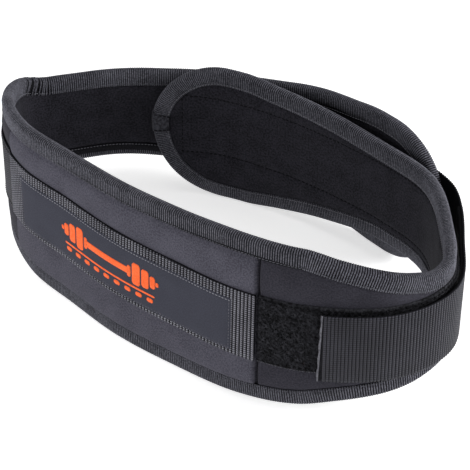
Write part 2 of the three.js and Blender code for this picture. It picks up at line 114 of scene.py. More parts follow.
# %% [markdown]
# ## Reading a table smoothly
# Each table holds a few rows that were measured, and the cloth runs smoothly between them. A plain spline
# could swing past its rows and give the band a bulge that nobody measured. This one uses the harmonic mean
# of the two slopes beside each row, so it never overshoots.

# %% Smooth look-up
def hermite(t, start, start_slope, end, end_slope):
    """The smooth curve between two values with a slope at each."""
    ahead = (2 * t**3 - 3 * t**2 + 1) * start + (t**3 - 2 * t**2 + t) * start_slope
    return ahead + ((3 * t**2 - 2 * t**3) * end + (t**3 - t**2) * end_slope)


def look_up(rows, at, column=1):
    x, y = rows[:, 0], rows[:, column]
    slope = np.diff(y) / np.diff(x)
    tangent = np.zeros(len(x))
    same = slope[:-1] * slope[1:] > 0
    total = np.where(same, slope[:-1] + slope[1:], 1.0)
    tangent[1:-1] = np.where(same, 2 * slope[:-1] * slope[1:] / total, 0.0)
    at = np.clip(np.asarray(at, float), x[0], x[-1])
    k = np.clip(np.searchsorted(x, at, side="right") - 1, 0, len(x) - 2)
    span = x[k + 1] - x[k]
    t = (at - x[k]) / span
    return hermite(t, y[k], span * tangent[k], y[k + 1], span * tangent[k + 1])


def smooth_step(t):
    t = np.clip(t, 0, 1)
    return t * t * (3 - 2 * t)


print("lean at the left hip:", round(float(look_up(LEAN, 0.45)), 1), "degrees")

# %% [markdown]
# ## The path round the waist
# The loop is a closed curve through a few points seen from above. The inner end of the band lies on it. On
# the left the band swings out and lies over its own inner end, so the outward offset is added step by step
# and the true length of the cloth is counted on the way. Later steps can then ask for any length of band.

# %% The loop and the band's path on it
def catmull_rom_loop(points, steps=200):
    before, here = np.roll(points, 1, 0), points
    after, beyond = np.roll(points, -1, 0), np.roll(points, -2, 0)
    t = (np.arange(steps) / steps)[None, :, None]
    a, b = here[:, None], (after - before)[:, None] / 2
    c, d = after[:, None], (beyond - here)[:, None] / 2
    return hermite(t, a, b, c, d).reshape(-1, 2)


loop_line = catmull_rom_loop(LOOP_PLAN * (LOOP_WIDTH / 2, LOOP_DEPTH / 2))
loop_line = np.vstack([loop_line, loop_line[:1]])
loop_at = np.concatenate([[0], np.cumsum(np.hypot(*np.diff(loop_line, axis=0).T))])
LOOP_LENGTH = loop_at[-1]
loop_tangent = np.gradient(loop_line[:-1], axis=0)
loop_tangent[0] = loop_tangent[-1] = (loop_line[1] - loop_line[-2]) / 2
loop_tangent = np.vstack([loop_tangent, loop_tangent[:1]])
loop_tangent /= np.hypot(*loop_tangent.T)[:, None]


def loop_frame(along):
    """Point of the loop and the outward direction there, in plan."""
    at = np.mod(along, LOOP_LENGTH)
    x, y = (np.interp(at, loop_at, loop_line[:, i]) for i in (0, 1))
    tx, ty = (np.interp(at, loop_at, loop_tangent[:, i]) for i in (0, 1))
    size = np.hypot(tx, ty)
    return np.stack([x, y], -1), np.stack([-ty / size, tx / size], -1)


foam_face, edge_face = FOAM / 2, EDGE_FOAM / 2
lining_face = foam_face + GAP + LINING
edge_lining_face = edge_face + GAP + LINING
tape_inner_face = edge_lining_face + GAP + TAPE
tape_outer_face = edge_face + GAP + TAPE
outer_seat = foam_face + GAP
webbing_seat = outer_seat + PANEL + GAP
loop_strip_face = outer_seat + LOOP_STRIP
lap_step = max(loop_strip_face, tape_outer_face) + LAP_GAP + max(lining_face, tape_inner_face)
lap_start = LOOP_LENGTH - INNER_REACH
lap_length = OUTER_REACH + INNER_REACH - LOOP_LENGTH


def lap_offset(along):
    lift = smooth_step((along - lap_start + LAP_RAMP) / LAP_RAMP)
    return lift * (lap_step + END_SPREAD * look_up(LAP_SPREAD, (along - lap_start) / lap_length))


outer_along = np.arange(0, LOOP_LENGTH, 0.5)
spot, out = loop_frame(outer_along)
outer_line = spot + out * lap_offset(outer_along)[:, None]
outer_length = np.concatenate([[0], np.cumsum(np.hypot(*np.diff(outer_line, axis=0).T))])


def along_loop(length):
    return np.where(length > 0, np.interp(length, outer_length, outer_along), length)


def slant_at(length):
    reach = np.where(length < 0, INNER_REACH, OUTER_REACH)
    return np.tan(np.radians(look_up(LEAN, length / reach)))


def band_point(length, outward, height):
    """Point of the belt: true length along the band, distance outward from its middle, height."""
    length, outward, height = np.broadcast_arrays(*(np.asarray(v, float) for v in (length, outward, height)))
    along = along_loop(length)
    spot, out = loop_frame(along)
    offset = np.where(length > 0, lap_offset(along), 0.0) + outward + slant_at(length) * height
    return np.concatenate([spot + out * offset[..., None], height[..., None]], -1)


print("loop:", round(LOOP_LENGTH), "mm round, lap:", round(lap_length), "mm")

# %% [markdown]
# ## The outline laid flat
# On the table the band is a long shape with a wide back, narrow hips and two wide round ends. The outline
# is walked once, clockwise, with a point every millimetre and the direction into the cloth at each. The tape
# and its seams follow it, and every other layer asks how far it is from this edge.

# %% Outline of the band
def reach_share(length):
    return np.abs(length) / np.where(length < 0, INNER_REACH, OUTER_REACH)


def half_height(length, hip, back, end, columns):
    back_share, end_share = (look_up(OUTLINE, reach_share(length), column) for column in columns)
    return hip + (back - hip) * back_share + (end - hip) * end_share


def rise_at(length):
    return half_height(length, HIP_RISE, BACK_RISE, END_RISE, (1, 3))


def drop_at(length):
    return half_height(length, HIP_DROP, BACK_DROP, END_DROP, (2, 4))


def climb_at(length):
    """How much higher than the band's middle the webbing and the sewn strap lie."""
    length = np.asarray(length, float)
    on_panel = np.clip(length / PANEL_LENGTH + 0.5, 0, 1) ** 2
    settled = smooth_step((length - PANEL_LENGTH / 2) / STRAP_SETTLE)
    return WEBBING_CLIMB * on_panel * (1 - settled)


inner_shoulder, outer_shoulder = END_ROUND - INNER_REACH, OUTER_REACH - END_ROUND


def outline_loop(step=1.0):
    body = np.arange(inner_shoulder, outer_shoulder, step)
    turn = np.linspace(0, math.pi / 2, int(90 / step))

    def quarter(shoulder, reach, height, angle):
        return np.stack([shoulder + reach * np.sin(angle), height * np.cos(angle)], 1)

    parts = [
        np.stack([body, rise_at(body)], 1),
        quarter(outer_shoulder, END_ROUND, rise_at(outer_shoulder), turn),
        quarter(outer_shoulder, END_ROUND, -drop_at(outer_shoulder), turn[::-1])[1:],
        np.stack([body[::-1], -drop_at(body[::-1])], 1),
        quarter(inner_shoulder, -END_ROUND, -drop_at(inner_shoulder), turn),
        quarter(inner_shoulder, -END_ROUND, rise_at(inner_shoulder), turn[::-1])[1:-1],
    ]
    line = np.vstack(parts)
    line = np.vstack([line, line[:1]])
    at = np.concatenate([[0], np.cumsum(np.hypot(*np.diff(line, axis=0).T))])
    count = int(at[-1] / step)
    even = np.arange(count) * at[-1] / count
    line = np.stack([np.interp(even, at, line[:, i]) for i in (0, 1)], 1)
    ahead = np.roll(line, -3, 0) - np.roll(line, 3, 0)
    ahead /= np.hypot(*ahead.T)[:, None]
    return line, np.stack([ahead[:, 1], -ahead[:, 0]], 1)


outline, outline_inward = outline_loop()
print("outline:", len(outline), "mm of tape")


def edge_distance(length, height):
    """Distance from places on the flat band to its edge."""
    length, height = np.broadcast_arrays(np.asarray(length, float), np.asarray(height, float))
    flat = np.stack([length.ravel(), height.ravel()], 1)
    nearest = np.empty(len(flat))
    for i in range(0, len(flat), 1500):
        part = flat[i:i + 1500]
        nearest[i:i + 1500] = np.hypot(part[:, :1] - outline[:, 0], part[:, 1:] - outline[:, 1]).min(1)
    return nearest.reshape(length.shape)


# %% [markdown]
# ## How the foam swells
# Foam bound at its edge is thin under the tape and full a little way in. Wherever something is sewn through
# it, it is held down, and between two sewn lines it rises like a low cushion. A cloth simulation needs a
# mesh finer than the foam is thick to show this on a sheet of six millimetres, so the faces are worked out
# from their distance to the nearest sewn line, which gives the same low swell on every run.

# %% Faces of the padded band
STRIP_HALF = LOOP_STRIP_WIDTH / 2
SWELL, SWELL_REACH = 1.3, 6.0
# Where the foam is still thin under the tape, and over what distance it grows full
THIN_TO, FULL_OVER = 9.5, 5.0
# The upright seams of the back pull a deep groove, the lines on the lining a shallow one
SEAM_AT = PANEL_LENGTH / 2 + 0.9
GROOVE, GROOVE_HALF = 2.4, 1.2
CHANNEL, CHANNEL_HALF = 0.7, 2.0
# The rectangle of stitches on the lining: half its height, and the lengths where it starts and stops
LINE_HALF = 23.5
LINE_START, LINE_STOP = 22.0 - INNER_REACH, -118.0


def unevenness(length, height):
    """Slow, small waves of hand-sewn foam, in shares of one."""
    slow = np.sin(length / 19.0 + 1.4 * np.sin(height / 21.0)) + np.sin(length / 43.0 - height / 17.0)
    quick = np.sin(length / 7.3 + height / 11.0 + 2.0 * np.sin(length / 31.0))
    return (slow + 0.6 * quick) / 2.6


def pulled_in(length, distance):
    """Short puckers that the tape's seam pulls into the cloth beside it."""
    near = np.exp(-((distance - TAPE_WIDTH - 2.5) / 3.0) ** 2)
    return near * np.sin(length / 1.9 + 1.6 * np.sin(length / 13.0))


def outer_face(length, height, distance):
    full = edge_face + (foam_face - edge_face) * smooth_step((distance - THIN_TO) / FULL_OVER)
    beside = np.minimum(distance - TAPE_WIDTH, np.abs(height - climb_at(length)) - STRIP_HALF)
    swell = SWELL * (1 - np.exp(-np.clip(beside, 0, None) / SWELL_REACH))
    seam = np.abs(np.abs(length) - SEAM_AT)
    groove = GROOVE * np.exp(-(seam / GROOVE_HALF) ** 2)
    groove = groove * smooth_step((distance - 10.0) / 4.0)
    rough = 0.3 * unevenness(length, height) * smooth_step(beside / 8.0) + 0.12 * pulled_in(length, distance)
    return full + swell - groove + rough


def inner_face(length, height, distance):
    grown_full = smooth_step((distance - THIN_TO) / FULL_OVER)
    full = edge_lining_face + (lining_face - edge_lining_face) * grown_full
    crown = 0.6 * (1 - np.exp(-np.clip(distance - TAPE_WIDTH, 0, None) / 9.0))
    across = np.abs(np.abs(height) - LINE_HALF)
    along = np.abs(length - LINE_START)
    on_strip = smooth_step((LINE_STOP - length) / 6.0) * (length > LINE_START - 1.5)
    channel = CHANNEL * np.exp(-(across / CHANNEL_HALF) ** 2) * on_strip
    end_line = CHANNEL * np.exp(-(along / CHANNEL_HALF) ** 2) * (np.abs(height) < LINE_HALF + CHANNEL_HALF)
    rough = 0.3 * unevenness(length + 70, height) + 0.12 * pulled_in(length + 5, distance)
    rough = rough * smooth_step((distance - TAPE_WIDTH) / 3.0)
    return -(full + crown - np.maximum(channel, end_line) + rough)


print("foam full at the middle:", round(float(outer_face(0.0, 40.0, 22.0)), 2), "mm from its middle")

# %% [markdown]
# ## From flat cloth to a mesh
# Most pieces are a grid of places on the flat cloth with two faces, so one helper bends such a grid round
# the path, closes its rim and keeps the flat places as a UV map. Weaves drawn on that map then follow the
# cloth round every bend. Narrow things that run along a line are swept from a ring of points instead.

# %% Mesh helpers
def smoothed(mesh):
    """Turns the faces outward and shades them smoothly."""
    work = bmesh.new()
    work.from_mesh(mesh)
    bmesh.ops.recalc_face_normals(work, faces=work.faces)
    work.to_mesh(mesh)
    work.free()
    mesh.polygons.foreach_set("use_smooth", [True] * len(mesh.polygons))


def placed(name, mesh):
    """A new object in the scene that holds a mesh."""
    piece = bpy.data.objects.new(name, mesh)
    bpy.context.scene.collection.objects.link(piece)
    return piece


def finished(name, points, faces, finish=None, flat=None):
    """A piece from points in millimetres round the path, with the flat cloth's places as its UV map."""
    mesh = bpy.data.meshes.new(name)
    mesh.from_pydata(((np.asarray(points) + path_to_frame) * METRE).tolist(), [], faces)
    if flat is not None:
        corner = np.empty(len(mesh.loops), dtype=np.int32)
        mesh.loops.foreach_get("vertex_index", corner)
        layer = mesh.uv_layers.new(name="flat")
        layer.data.foreach_set("uv", (np.asarray(flat, float) * METRE)[corner].ravel())
    if finish is not None:
        mesh.materials.append(finish)
    smoothed(mesh)
    return placed(name, mesh)


def grid_faces(rows, columns, start, flip=False):
    at = start + np.arange(rows * columns).reshape(rows, columns)
    quads = np.stack([at[:-1, :-1], at[1:, :-1], at[1:, 1:], at[:-1, 1:]], -1).reshape(-1, 4)
    return (quads[:, ::-1] if flip else quads).tolist()


def sheet_faces(rows, columns, start=0):
    """Faces of a closed sheet: a front grid, the back grid that follows it, and the rim between them."""
    size = rows * columns
    at = start + np.arange(size).reshape(rows, columns)
    rim = np.concatenate([at[:, 0], at[-1, 1:], at[-2::-1, -1], at[0, -2:0:-1]])
    beside = np.roll(rim, -1)
    walls = np.stack([rim, beside, beside + size, rim + size], -1).tolist()
    return grid_faces(rows, columns, start) + grid_faces(rows, columns, start + size, True) + walls


def ring_faces(sections, around, closed=False):
    """Faces of a row of rings, with its two ends unless it closes on itself."""
    at = np.arange(sections * around).reshape(sections, around)
    here, ahead = (at, np.roll(at, -1, 0)) if closed else (at[:-1], at[1:])
    faces = np.stack([here, ahead, np.roll(ahead, -1, 1), np.roll(here, -1, 1)], -1).reshape(-1, 4).tolist()
    return faces if closed else faces + [at[0].tolist(), at[-1][::-1].tolist()]


def layer_piece(name, front, back, finish, flat=None):
    """A closed sheet between two grids of points."""
    points = np.concatenate([front.reshape(-1, 3), back.reshape(-1, 3)])
    places = None if flat is None else np.concatenate([flat.reshape(-1, 2)] * 2)
    return finished(name, points, sheet_faces(*front.shape[:2]), finish, places)


def swept_piece(name, rings, closed, finish):
    """A ring of points carried along a line. rings: sections, points of a ring, 3."""
    return finished(name, rings.reshape(-1, 3), ring_faces(*rings.shape[:2], closed), finish)


# The frame stands with its box on the origin, so the path is moved there. Its back webbing says how far.
webbing_low, webbing_high = (np.array(corner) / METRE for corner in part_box("back_webbing"))
along_back = np.linspace(-PANEL_LENGTH / 2, PANEL_LENGTH / 2, 200)
webbing_path = np.concatenate([
    band_point(along_back, face, climb_at(along_back) + height)
    for face in (webbing_seat, webbing_seat + WEBBING)
    for height in (-WEBBING_WIDTH / 2, WEBBING_WIDTH / 2)
])
path_to_frame = np.array([
    (webbing_low[0] + webbing_high[0] - webbing_path[:, 0].min() - webbing_path[:, 0].max()) / 2,
    webbing_high[1] - webbing_path[:, 1].max(),
    webbing_low[2] - webbing_path[:, 2].min(),
])
print("path to frame:", path_to_frame.round(2), "mm")

# %% [markdown]
# ## Cloth finishes
# All of the belt is dyed synthetic cloth: polyester knit, brushed nylon, nylon grosgrain and webbing. None
# of it shines, and its colour is never quite even. So each finish mixes a darker and a lighter dye by two
# noises, one as fine as the yarn and one wide, and bumps the surface with the same yarn. Webbing also gets a
# level wave for the yarns that cross its ribs. One helper adds a node with its settings and links, and
# another turns a designer's hex colour into the linear values that the shader needs.

# %% Material helpers
def linear(code):
    values = [int(code[i:i + 2], 16) / 255 for i in (1, 3, 5)]
    return [v / 12.92 if v <= 0.04045 else ((v + 0.055) / 1.055) ** 2.4 for v in values] + [1.0]


def add_node(tree, kind, settings=None, inputs=None):
    """Adds a node, sets its properties, and sets or links its inputs by name or number."""
    made = tree.nodes.new(kind)
    for key, value in (settings or {}).items():
        setattr(made, key, value)
    for key, value in (inputs or {}).items():
        if isinstance(value, bpy.types.NodeSocket):
            tree.links.new(value, made.inputs[key])
        else:
            made.inputs[key].default_value = value
    return made


def new_material(name):
    material = bpy.data.materials.new(name)
    material.use_nodes = True
    material.node_tree.nodes.clear()
    return material, material.node_tree


# A wave texture of scale one repeats every 0.314 units
WAVE_PERIOD = 0.314


def cloth(name, dark, light, yarn, roughness, sheen, bump, flat=False, broad=0.02, shine=0.1, crossing=0.0):
    """A dyed cloth. yarn and broad are the sizes of its fine and its wide unevenness, and crossing is the
    distance of the yarns that cross the ribs, in metres. flat: the weave follows the cloth's flat map."""
    material, tree = new_material(name)
    if flat:
        where = add_node(tree, "ShaderNodeUVMap", {"uv_map": "flat"}).outputs["UV"]
    else:
        where = add_node(tree, "ShaderNodeTexCoord").outputs["Object"]
    fine = add_node(tree, "ShaderNodeTexNoise", inputs={"Vector": where, "Scale": 1 / yarn, "Detail": 3.0})
    wide = add_node(tree, "ShaderNodeTexNoise", inputs={"Vector": where, "Scale": 1 / broad, "Detail": 2.0})
    grain = fine.outputs["Fac"]
    if crossing:
        level = add_node(tree, "ShaderNodeTexWave", {"bands_direction": "Z"}, {
            "Vector": where, "Scale": WAVE_PERIOD / crossing, "Distortion": 0.6, "Detail": 1.0})
        grain = add_node(tree, "ShaderNodeMix", {"data_type": "FLOAT"}, {
            "Factor": 0.5, 2: grain, 3: level.outputs["Fac"]}).outputs[0]
    spread = add_node(tree, "ShaderNodeMapRange", inputs={
        "Value": grain, "From Min": 0.35, "From Max": 0.65, "To Min": 0.0, "To Max": 1.0})
    drift = add_node(tree, "ShaderNodeMapRange", inputs={
        "Value": wide.outputs["Fac"], "From Min": 0.3, "From Max": 0.7, "To Min": -0.2, "To Max": 0.2})
    both = add_node(tree, "ShaderNodeMath", {"operation": "ADD", "use_clamp": True},
                    {0: spread.outputs[0], 1: drift.outputs[0]})
    dye = add_node(tree, "ShaderNodeMix", {"data_type": "RGBA"},
                   {"Factor": both.outputs[0], 6: linear(dark), 7: linear(light)})
    relief = add_node(tree, "ShaderNodeBump", inputs={"Height": grain, "Strength": 1.0, "Distance": bump})
    shader = add_node(tree, "ShaderNodeBsdfPrincipled", inputs={
        "Base Color": dye.outputs[2], "Roughness": roughness, "Sheen Weight": sheen, "Sheen Roughness": 0.5,
        "Specular IOR Level": shine, "Normal": relief.outputs[0]})
    add_node(tree, "ShaderNodeOutputMaterial", inputs={"Surface": shader.outputs[0]})
    return material


# Polyester knit over foam: loops a third of a millimetre wide, drawn at three times that so that they show
side_knit = cloth("polyester side knit", "#27262d", "#38373f", 0.0011, 0.9, 0.02, 0.00025, flat=True)
# The same knit in a lighter, heathered dye on the back
panel_knit = cloth("polyester panel knit", "#3b3a43", "#53525c", 0.0011, 0.9, 0.02, 0.00025, flat=True)
# Brushed nylon lining: the nap stands up and lies in soft patches
brushed_lining = cloth("brushed nylon lining", "#19191d", "#2f2e35", 0.0014, 0.95, 0.03, 0.0004, flat=True,
                       broad=0.012, shine=0.05)
# Grosgrain: thick filling yarns make bright ribs over a close warp. The ground between the ribs is dyed much
# darker than them: painted shade in the grooves. Where it is turned under, the ribs press flat
grosgrain = cloth("nylon grosgrain ground in painted shade", "#141417", "#232327", 0.0008, 0.85, 0.0, 0.0001, shine=0.05)
grosgrain_rib = cloth("nylon grosgrain rib", "#424249", "#6a6a73", 0.0012, 0.8, 0.03, 0.00015)
grosgrain_end = cloth("turned end of nylon grosgrain", "#26262b", "#46464d", 0.0016, 0.85, 0.02, 0.0003)
# Webbing: thick nylon yarn woven tight. Ribs run across it, and the yarns that cross them show as fine
# steps.
# Its ground, on the back and under the strap's ribs, is dyed much darker than the ribs: painted shade
# between them
webbing_ground_painted_shade = cloth("nylon webbing ground in painted shade", "#131316", "#222226", 0.0009, 0.85, 0.0, 0.0001, shine=0.05)
webbing_yarn = cloth("nylon webbing", "#34343a", "#83838b", 0.0009, 0.75, 0.03, 0.0002, crossing=0.0016)
strap_yarn = cloth("nylon strap webbing", "#15151a", "#34343d", 0.0009, 0.55, 0.05, 0.0002, shine=0.2,
                   crossing=0.0016)
# Smooth woven patch: a close taffeta with hardly any relief
patch_cloth = cloth("close nylon taffeta", "#35363f", "#3e3f49", 0.0009, 0.85, 0.02, 0.00008, flat=True)
# Loop pile: fine black loops that stand up from a knit base. The hook half is moulded nylon
loop_pile = cloth("nylon loop pile", "#0e0e10", "#37373c", 0.0019, 0.9, 0.02, 0.0002, broad=0.006)
hook_plastic = cloth("nylon hook tape", "#0f0f11", "#1f1f22", 0.0012, 0.7, 0.0, 0.0003)
# Spun polyester thread, as dark as the tape or a little lighter than the cloth it is sewn through
tape_thread = cloth("grey polyester thread", "#45454b", "#6c6c74", 0.0006, 0.8, 0.0, 0.00004)
lining_thread = cloth("pale grey polyester thread", "#5f5f66", "#83838b", 0.0006, 0.8, 0.0, 0.00004)
light_thread = cloth("light polyester thread", "#77777e", "#9b9ba2", 0.0006, 0.8, 0.0, 0.00004)
dark_thread = cloth("dark polyester thread", "#0c0c0e", "#18181b", 0.0006, 0.8, 0.0, 0.00004, shine=0.05)
# A nylon end that was cut with a hot knife: melted, smooth and a little lighter
fused_nylon = cloth("hot-cut nylon", "#4c4c52", "#6e6e75", 0.002, 0.5, 0.0, 0.00005)
# Screen print: a thin rubbery ink that fills the weave
orange_ink = cloth("orange screen ink", "#f0602f", "#ff7542", 0.0010, 0.7, 0.0, 0.00003)
print("materials:", len(bpy.data.materials))

# %% [markdown]
# ## Rows of small things, by Geometry Nodes
# Ribs and stitches are the same small shape repeated hundreds of times along a line. A Geometry Nodes tree
# is the right tool: it cuts the line into even steps, puts the shape on each step and turns it along the
# line. The line carries two directions as attributes, along the cloth and out of it, and the tree ends in
# Realize Instances and Set Material, so the result is one plain mesh.

# %% The row tree
def tree_with(name, inputs):
    tree = bpy.data.node_groups.new(name, "GeometryNodeTree")
    for label, kind in inputs:
        tree.interface.new_socket(label, in_out="INPUT", socket_type="NodeSocket" + kind)
    tree.interface.new_socket("Result", in_out="OUTPUT", socket_type="NodeSocketGeometry")
    return tree


def finish_tree(tree, shapes, finish):
    plain = add_node(tree, "GeometryNodeRealizeInstances", inputs={0: shapes})
    dyed = add_node(tree, "GeometryNodeSetMaterial", inputs={0: plain.outputs[0], "Material": finish})
    add_node(tree, "NodeGroupOutput", inputs={0: dyed.outputs[0]})


def row_tree():
    tree = tree_with("row along a line", [
        ("Line", "Geometry"), ("Pitch", "Float"), ("Item", "Object"), ("Finish", "Material")])
    start = add_node(tree, "NodeGroupInput")
    curve = add_node(tree, "GeometryNodeMeshToCurve", inputs={0: start.outputs["Line"]})
    steps = add_node(tree, "GeometryNodeResampleCurve", {"mode": "LENGTH"},
                     {"Curve": curve.outputs[0], "Length": start.outputs["Pitch"]})
    vector = {"data_type": "FLOAT_VECTOR"}
    along = add_node(tree, "GeometryNodeInputNamedAttribute", vector, {"Name": "along"})
    facing = add_node(tree, "GeometryNodeInputNamedAttribute", vector, {"Name": "facing"})
    turn = add_node(tree, "FunctionNodeAxesToRotation", {"primary_axis": "X", "secondary_axis": "Z"},
                    {0: along.outputs[0], 1: facing.outputs[0]})
    item = add_node(tree, "GeometryNodeObjectInfo", inputs={"Object": start.outputs["Item"]})
    shapes = add_node(tree, "GeometryNodeInstanceOnPoints", inputs={
        "Points": steps.outputs[0], "Instance": item.outputs["Geometry"], "Rotation": turn.outputs[0]})
    finish_tree(tree, shapes.outputs[0], start.outputs["Finish"])
    return tree


def grown(carrier, name, tree, values):
    """The tree's result on a carrier, as a plain mesh. The carrier is removed."""
    modifier = carrier.modifiers.new("grow", "NODES")
    modifier.node_group = tree
    for socket in tree.interface.items_tree:
        if socket.in_out == "INPUT" and socket.name in values:
            modifier[socket.identifier] = values[socket.name]
    depsgraph = bpy.context.evaluated_depsgraph_get()
    mesh = bpy.data.meshes.new_from_object(carrier.evaluated_get(depsgraph), depsgraph=depsgraph)
    mesh.name = name
    bpy.data.objects.remove(carrier)
    print(name, len(mesh.polygons), "faces")
    return placed(name, mesh)


rows_along = row_tree()


def line_carrier(lines):
    """Lines of points with their directions. lines: (points, facing, closed)"""
    points, edges, along, facing = [], [], [], []
    for spots, out, closed in lines:
        first = len(points)
        ahead = np.roll(spots, -1, 0) - np.roll(spots, 1, 0) if closed else np.gradient(spots, axis=0)
        ahead /= np.linalg.norm(ahead, axis=1)[:, None]
        points += spots.tolist()
        along += ahead.tolist()
        facing += np.broadcast_to(out, spots.shape).tolist()
        edges += [(first + i, first + i + 1) for i in range(len(spots) - 1)]
        edges += [(first + len(spots) - 1, first)] if closed else []
    mesh = bpy.data.meshes.new("line")
    mesh.from_pydata(((np.array(points) + path_to_frame) * METRE).tolist(), edges, [])
    for label, values in (("along", along), ("facing", facing)):
        layer = mesh.attributes.new(label, "FLOAT_VECTOR", "POINT")
        layer.data.foreach_set("vector", np.asarray(values, float).ravel())
    return placed("line", mesh)


def small_item(name, rings):
    """A small closed shape from rings of points, in millimetres."""
    rings = np.asarray(rings, float)
    mesh = bpy.data.meshes.new(name)
    mesh.from_pydata((rings.reshape(-1, 3) * METRE).tolist(), [], ring_faces(*rings.shape[:2]))
    smoothed(mesh)
    return bpy.data.objects.new(name, mesh)


def row_piece(name, lines, item, pitch, finish):
    values = {"Pitch": pitch * METRE, "Item": item, "Finish": finish}
    return grown(line_carrier(lines), name, rows_along, values)


# A stitch: a short bead of thread, 2.5 mm of every 3.5, lying in the cloth
STITCH_PITCH = 3.5
ring_angles = np.linspace(0, 2 * math.pi, 6, endpoint=False)
stitch = small_item("stitch", [
    [(x, 0.38 * size * math.cos(a), lift + 0.32 * size * math.sin(a)) for a in ring_angles]
    for x, size, lift in ((-1.3, 0.45, -0.25), (-0.8, 1.0, 0.0), (0.8, 1.0, 0.0), (1.3, 0.45, -0.25))
])

# A finer one, 1.6 mm of every 2.4, for the tape's seam and the patch
FINE_PITCH = 2.4
fine_stitch = small_item("fine_stitch", [
    [(x, 0.3 * size * math.cos(a), lift + 0.25 * size * math.sin(a)) for a in ring_angles]
    for x, size, lift in ((-0.85, 0.5, -0.2), (-0.5, 1.0, 0.0), (0.5, 1.0, 0.0), (0.85, 0.5, -0.2))
])

# %% [markdown]
# ## The padded band
# The band is cut from foam with knit cloth on its outside. It could be a plain extrusion, but foam shows its
# making: thin at the bound edge, full inside, dipped at each seam. So it is a fine grid over the flat
# outline, and each point asks the face functions how far out it lies.

# %% Band and lining
EDGE_MARGIN = TAPE + GAP


def outline_grid(step, rows):
    """Columns over the whole outline: lengths, heights and the distance to the edge."""
    beside_seam = np.linspace(-2.4, 2.4, 9)
    body = np.concatenate([
        np.linspace(inner_shoulder, outer_shoulder, int((outer_shoulder - inner_shoulder) / step)),
        beside_seam - SEAM_AT, beside_seam + SEAM_AT])
    body = np.unique(body.round(2))
    turn = (np.arange(18) + 1) * math.pi / 37
    out_by, share = (END_ROUND - EDGE_MARGIN) * np.sin(turn), np.cos(turn)
    lengths = np.concatenate([inner_shoulder - out_by[::-1], body, outer_shoulder + out_by])
    shares = np.concatenate([share[::-1], np.ones(len(body)), share])
    flat_part = np.clip(lengths, inner_shoulder, outer_shoulder)
    top = (rise_at(flat_part) - EDGE_MARGIN) * shares
    bottom = -(drop_at(flat_part) - EDGE_MARGIN) * shares
    across = np.linspace(0, 1, rows)
    heights = bottom[:, None] + (top - bottom)[:, None] * across
    lengths = np.broadcast_to(lengths[:, None], heights.shape)
    return lengths, heights, edge_distance(lengths, heights)


length, height, distance = outline_grid(2.0, 59)
flat = np.stack([length, height], -1)
band_front = band_point(length, outer_face(length, height, distance), height)
on_lining = -inner_face(length, height, distance)
band_back = band_point(length, -np.minimum(foam_face - 0.3, on_lining - 0.5), height)
padded_band = layer_piece("padded_band_soft", band_front, band_back, side_knit, flat)
lining_front = band_point(length, 0.9 - on_lining, height)
lining_back = band_point(length, -on_lining, height)
inner_lining = layer_piece("inner_lining_soft", lining_front, lining_back, brushed_lining, flat)
print("band", len(padded_band.data.polygons), "faces, lining", len(inner_lining.data.polygons))

# %% [markdown]
# ## The tape round the edge
# The edge is bound with grosgrain, folded over it and sewn through. Its ribs run over the fold from face to
# face. The tape itself is a C-shaped section swept along the outline, and each rib is one C-shaped bead that
# the row tree repeats 1500 times. A bump texture would be cheaper, but ribs on the rim show in the
# silhouette.

# %% Tape and its ribs
FOLD_DEPTH = 3.4
fold_middle = (tape_outer_face - tape_inner_face) / 2
fold_half = (tape_outer_face + tape_inner_face) / 2


def folded_section(lift, points):
    """Out and depth of the tape's face, from its outer free edge over the fold to the inner one."""
    turn = np.linspace(0, math.pi, points)
    out = fold_middle + (fold_half + lift) * np.cos(turn)
    depth = FOLD_DEPTH - (FOLD_DEPTH + lift) * np.sin(turn) ** 0.8
    straight = np.array([TAPE_WIDTH, (TAPE_WIDTH + FOLD_DEPTH) / 2])
    out = np.concatenate([np.full(2, out[0]), out, np.full(2, out[-1])])
    depth = np.concatenate([straight, depth, straight[::-1]])
    return out, depth


def gathers(length, height):
    """Ripples where the tape is gathered round the tight left bend, in millimetres outward."""
    window = np.exp(-((length - 205.0) / 9.0) ** 2) * (height > 0)
    return window * 0.55 * np.sin(length / 1.1)


def tape_points(at, out, depth):
    place = outline[at][:, None] + outline_inward[at][:, None] * depth[None, :, None]
    ripple = gathers(place[..., 0], place[..., 1]) * (1 - np.abs(depth - FOLD_DEPTH) / TAPE_WIDTH)
    return band_point(place[..., 0], out[None] + ripple, place[..., 1])


every = np.arange(0, len(outline), 2)
face_out, face_depth = folded_section(0.0, 9)
lining_out, lining_depth = folded_section(-TAPE, 9)
ring_out = np.concatenate([face_out, lining_out[::-1]])
ring_depth = np.concatenate([face_depth, lining_depth[::-1]])
# The tape's ground has the darker dye: painted shade between its ribs
edge_tape = swept_piece("edge_tape", tape_points(every, ring_out, ring_depth), True, grosgrain)

RIB_PITCH, RIB_HEIGHT = 1.6, 0.36
rib_out, rib_depth = folded_section(0.0, 7)
away = np.stack([rib_out - fold_middle, rib_depth - FOLD_DEPTH], 1)
away[:, 1] = np.minimum(away[:, 1], 0)
away /= np.linalg.norm(away, axis=1)[:, None]
RIB_SECTION = [(-0.6, -0.3), (-0.3, RIB_HEIGHT), (0.3, RIB_HEIGHT), (0.6, -0.3)]
rib = small_item("rib", [
    [(x, depth + dy * lift, out + dx * lift) for x, lift in RIB_SECTION]
    for out, depth, (dx, dy) in zip(rib_out, rib_depth, away)
])


def outline_line(depth, out, sign):
    """A line along the whole outline at a depth from the edge, facing outward or inward."""
    at = np.arange(0, len(outline))
    place = outline + outline_inward * depth
    ripple = gathers(place[:, 0], place[:, 1])
    spots = band_point(place[:, 0], out + ripple, place[:, 1])
    facing = band_point(place[:, 0], out + 1.0, place[:, 1]) - band_point(place[:, 0], out, place[:, 1])
    return spots, facing * sign, True


